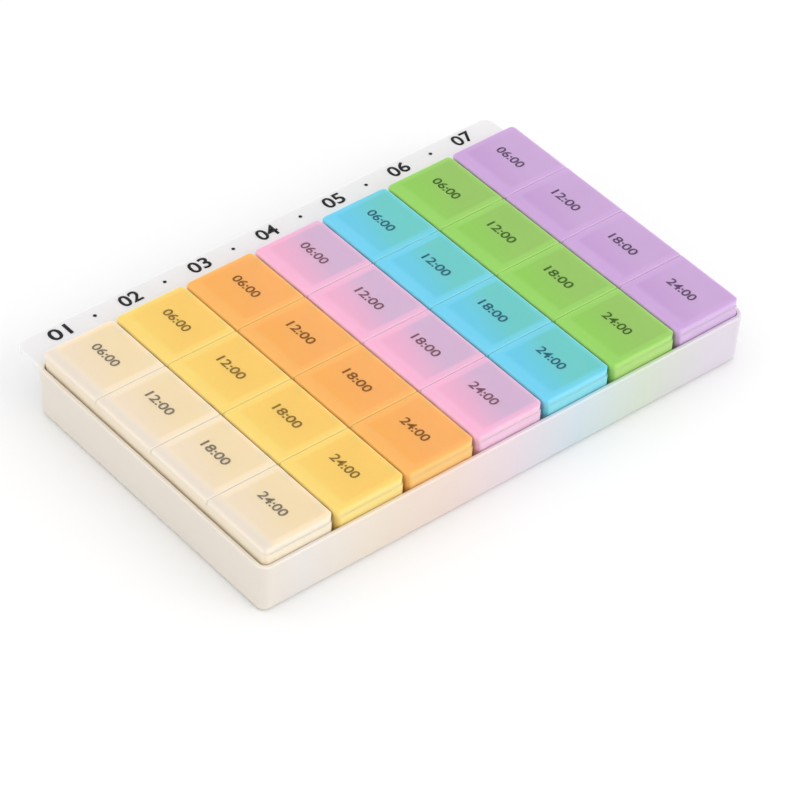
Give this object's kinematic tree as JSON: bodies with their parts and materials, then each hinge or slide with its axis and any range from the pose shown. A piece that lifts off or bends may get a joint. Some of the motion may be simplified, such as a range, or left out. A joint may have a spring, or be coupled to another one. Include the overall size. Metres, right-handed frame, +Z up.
{
  "type": "weekly pill organizer",
  "caption": "Weekly pill organizer: an open tray holding removable coloured daily boxes, each divided into compartments with hinged translucent lids.",
  "frame": {"origin": "middle of the bounding box, on the plane the tray stands on", "axes": "+X along the week from the first day to the last, +Y towards the flange at the back, +Z up"},
  "size_m": [0.2128, 0.1386, 0.0265],
  "materials": {
    "tray": "satin translucent",
    "sunday_plastic": "satin translucent",
    "monday_plastic": "satin translucent",
    "tuesday_plastic": "satin translucent",
    "wednesday_plastic": "satin translucent",
    "thursday_plastic": "satin translucent",
    "friday_plastic": "satin translucent",
    "saturday_plastic": "satin translucent"
  },
  "bodies": {
    "tray": {"tray": "tray"},
    "sunday_box": {"sunday_box": "sunday_plastic"},
    "sunday_morning_lid": {"sunday_morning_lid": "sunday_plastic"},
    "sunday_noon_lid": {"sunday_noon_lid": "sunday_plastic"},
    "sunday_night_lid": {"sunday_night_lid": "sunday_plastic"},
    "sunday_backup_lid": {"sunday_backup_lid": "sunday_plastic"},
    "monday_box": {"monday_box": "monday_plastic"},
    "monday_morning_lid": {"monday_morning_lid": "monday_plastic"},
    "monday_noon_lid": {"monday_noon_lid": "monday_plastic"},
    "monday_night_lid": {"monday_night_lid": "monday_plastic"},
    "monday_backup_lid": {"monday_backup_lid": "monday_plastic"},
    "tuesday_box": {"tuesday_box": "tuesday_plastic"},
    "tuesday_morning_lid": {"tuesday_morning_lid": "tuesday_plastic"},
    "tuesday_noon_lid": {"tuesday_noon_lid": "tuesday_plastic"},
    "tuesday_night_lid": {"tuesday_night_lid": "tuesday_plastic"},
    "tuesday_backup_lid": {"tuesday_backup_lid": "tuesday_plastic"},
    "wednesday_box": {"wednesday_box": "wednesday_plastic"},
    "wednesday_morning_lid": {"wednesday_morning_lid": "wednesday_plastic"},
    "wednesday_noon_lid": {"wednesday_noon_lid": "wednesday_plastic"},
    "wednesday_night_lid": {"wednesday_night_lid": "wednesday_plastic"},
    "wednesday_backup_lid": {"wednesday_backup_lid": "wednesday_plastic"},
    "thursday_box": {"thursday_box": "thursday_plastic"},
    "thursday_morning_lid": {"thursday_morning_lid": "thursday_plastic"},
    "thursday_noon_lid": {"thursday_noon_lid": "thursday_plastic"},
    "thursday_night_lid": {"thursday_night_lid": "thursday_plastic"},
    "thursday_backup_lid": {"thursday_backup_lid": "thursday_plastic"},
    "friday_box": {"friday_box": "friday_plastic"},
    "friday_morning_lid": {"friday_morning_lid": "friday_plastic"},
    "friday_noon_lid": {"friday_noon_lid": "friday_plastic"},
    "friday_night_lid": {"friday_night_lid": "friday_plastic"},
    "friday_backup_lid": {"friday_backup_lid": "friday_plastic"},
    "saturday_box": {"saturday_box": "saturday_plastic"},
    "saturday_morning_lid": {"saturday_morning_lid": "saturday_plastic"},
    "saturday_noon_lid": {"saturday_noon_lid": "saturday_plastic"},
    "saturday_night_lid": {"saturday_night_lid": "saturday_plastic"},
    "saturday_backup_lid": {"saturday_backup_lid": "saturday_plastic"}
  },
  "joints": [
    {"name": "sunday_lift", "type": "slide", "parent": "tray", "child": "sunday_box", "axis": [0, 0, 1], "range_m": [0, 0.03]},
    {"name": "monday_lift", "type": "slide", "parent": "tray", "child": "monday_box", "axis": [0, 0, 1], "range_m": [0, 0.03]},
    {"name": "tuesday_lift", "type": "slide", "parent": "tray", "child": "tuesday_box", "axis": [0, 0, 1], "range_m": [0, 0.03]},
    {"name": "wednesday_lift", "type": "slide", "parent": "tray", "child": "wednesday_box", "axis": [0, 0, 1], "range_m": [0, 0.03]},
    {"name": "thursday_lift", "type": "slide", "parent": "tray", "child": "thursday_box", "axis": [0, 0, 1], "range_m": [0, 0.03]},
    {"name": "friday_lift", "type": "slide", "parent": "tray", "child": "friday_box", "axis": [0, 0, 1], "range_m": [0, 0.03]},
    {"name": "saturday_lift", "type": "slide", "parent": "tray", "child": "saturday_box", "axis": [0, 0, 1], "range_m": [0, 0.03]},
    {"name": "sunday_morning_hinge", "type": "hinge", "parent": "sunday_box", "child": "sunday_morning_lid", "pos_m": [-0.0767, 0.03925, 0.0247], "axis": [0, 1, 0], "range_deg": [0, 100]},
    {"name": "sunday_noon_hinge", "type": "hinge", "parent": "sunday_box", "child": "sunday_noon_lid", "pos_m": [-0.0767, 0.00875, 0.0247], "axis": [0, 1, 0], "range_deg": [0, 100]},
    {"name": "sunday_night_hinge", "type": "hinge", "parent": "sunday_box", "child": "sunday_night_lid", "pos_m": [-0.0767, -0.02175, 0.0247], "axis": [0, 1, 0], "range_deg": [0, 100]},
    {"name": "sunday_backup_hinge", "type": "hinge", "parent": "sunday_box", "child": "sunday_backup_lid", "pos_m": [-0.0767, -0.05225, 0.0247], "axis": [0, 1, 0], "range_deg": [0, 100]},
    {"name": "monday_morning_hinge", "type": "hinge", "parent": "monday_box", "child": "monday_morning_lid", "pos_m": [-0.0467, 0.03925, 0.0247], "axis": [0, 1, 0], "range_deg": [0, 100]},
    {"name": "monday_noon_hinge", "type": "hinge", "parent": "monday_box", "child": "monday_noon_lid", "pos_m": [-0.0467, 0.00875, 0.0247], "axis": [0, 1, 0], "range_deg": [0, 100]},
    {"name": "monday_night_hinge", "type": "hinge", "parent": "monday_box", "child": "monday_night_lid", "pos_m": [-0.0467, -0.02175, 0.0247], "axis": [0, 1, 0], "range_deg": [0, 100]},
    {"name": "monday_backup_hinge", "type": "hinge", "parent": "monday_box", "child": "monday_backup_lid", "pos_m": [-0.0467, -0.05225, 0.0247], "axis": [0, 1, 0], "range_deg": [0, 100]},
    {"name": "tuesday_morning_hinge", "type": "hinge", "parent": "tuesday_box", "child": "tuesday_morning_lid", "pos_m": [-0.0167, 0.03925, 0.0247], "axis": [0, 1, 0], "range_deg": [0, 100]},
    {"name": "tuesday_noon_hinge", "type": "hinge", "parent": "tuesday_box", "child": "tuesday_noon_lid", "pos_m": [-0.0167, 0.00875, 0.0247], "axis": [0, 1, 0], "range_deg": [0, 100]},
    {"name": "tuesday_night_hinge", "type": "hinge", "parent": "tuesday_box", "child": "tuesday_night_lid", "pos_m": [-0.0167, -0.02175, 0.0247], "axis": [0, 1, 0], "range_deg": [0, 100]},
    {"name": "tuesday_backup_hinge", "type": "hinge", "parent": "tuesday_box", "child": "tuesday_backup_lid", "pos_m": [-0.0167, -0.05225, 0.0247], "axis": [0, 1, 0], "range_deg": [0, 100]},
    {"name": "wednesday_morning_hinge", "type": "hinge", "parent": "wednesday_box", "child": "wednesday_morning_lid", "pos_m": [0.0133, 0.03925, 0.0247], "axis": [0, 1, 0], "range_deg": [0, 100]},
    {"name": "wednesday_noon_hinge", "type": "hinge", "parent": "wednesday_box", "child": "wednesday_noon_lid", "pos_m": [0.0133, 0.00875, 0.0247], "axis": [0, 1, 0], "range_deg": [0, 100]},
    {"name": "wednesday_night_hinge", "type": "hinge", "parent": "wednesday_box", "child": "wednesday_night_lid", "pos_m": [0.0133, -0.02175, 0.0247], "axis": [0, 1, 0], "range_deg": [0, 100]},
    {"name": "wednesday_backup_hinge", "type": "hinge", "parent": "wednesday_box", "child": "wednesday_backup_lid", "pos_m": [0.0133, -0.05225, 0.0247], "axis": [0, 1, 0], "range_deg": [0, 100]},
    {"name": "thursday_morning_hinge", "type": "hinge", "parent": "thursday_box", "child": "thursday_morning_lid", "pos_m": [0.0433, 0.03925, 0.0247], "axis": [0, 1, 0], "range_deg": [0, 100]},
    {"name": "thursday_noon_hinge", "type": "hinge", "parent": "thursday_box", "child": "thursday_noon_lid", "pos_m": [0.0433, 0.00875, 0.0247], "axis": [0, 1, 0], "range_deg": [0, 100]},
    {"name": "thursday_night_hinge", "type": "hinge", "parent": "thursday_box", "child": "thursday_night_lid", "pos_m": [0.0433, -0.02175, 0.0247], "axis": [0, 1, 0], "range_deg": [0, 100]},
    {"name": "thursday_backup_hinge", "type": "hinge", "parent": "thursday_box", "child": "thursday_backup_lid", "pos_m": [0.0433, -0.05225, 0.0247], "axis": [0, 1, 0], "range_deg": [0, 100]},
    {"name": "friday_morning_hinge", "type": "hinge", "parent": "friday_box", "child": "friday_morning_lid", "pos_m": [0.0733, 0.03925, 0.0247], "axis": [0, 1, 0], "range_deg": [0, 100]},
    {"name": "friday_noon_hinge", "type": "hinge", "parent": "friday_box", "child": "friday_noon_lid", "pos_m": [0.0733, 0.00875, 0.0247], "axis": [0, 1, 0], "range_deg": [0, 100]},
    {"name": "friday_night_hinge", "type": "hinge", "parent": "friday_box", "child": "friday_night_lid", "pos_m": [0.0733, -0.02175, 0.0247], "axis": [0, 1, 0], "range_deg": [0, 100]},
    {"name": "friday_backup_hinge", "type": "hinge", "parent": "friday_box", "child": "friday_backup_lid", "pos_m": [0.0733, -0.05225, 0.0247], "axis": [0, 1, 0], "range_deg": [0, 100]},
    {"name": "saturday_morning_hinge", "type": "hinge", "parent": "saturday_box", "child": "saturday_morning_lid", "pos_m": [0.1033, 0.03925, 0.0247], "axis": [0, 1, 0], "range_deg": [0, 100]},
    {"name": "saturday_noon_hinge", "type": "hinge", "parent": "saturday_box", "child": "saturday_noon_lid", "pos_m": [0.1033, 0.00875, 0.0247], "axis": [0, 1, 0], "range_deg": [0, 100]},
    {"name": "saturday_night_hinge", "type": "hinge", "parent": "saturday_box", "child": "saturday_night_lid", "pos_m": [0.1033, -0.02175, 0.0247], "axis": [0, 1, 0], "range_deg": [0, 100]},
    {"name": "saturday_backup_hinge", "type": "hinge", "parent": "saturday_box", "child": "saturday_backup_lid", "pos_m": [0.1033, -0.05225, 0.0247], "axis": [0, 1, 0], "range_deg": [0, 100]}
  ]
}
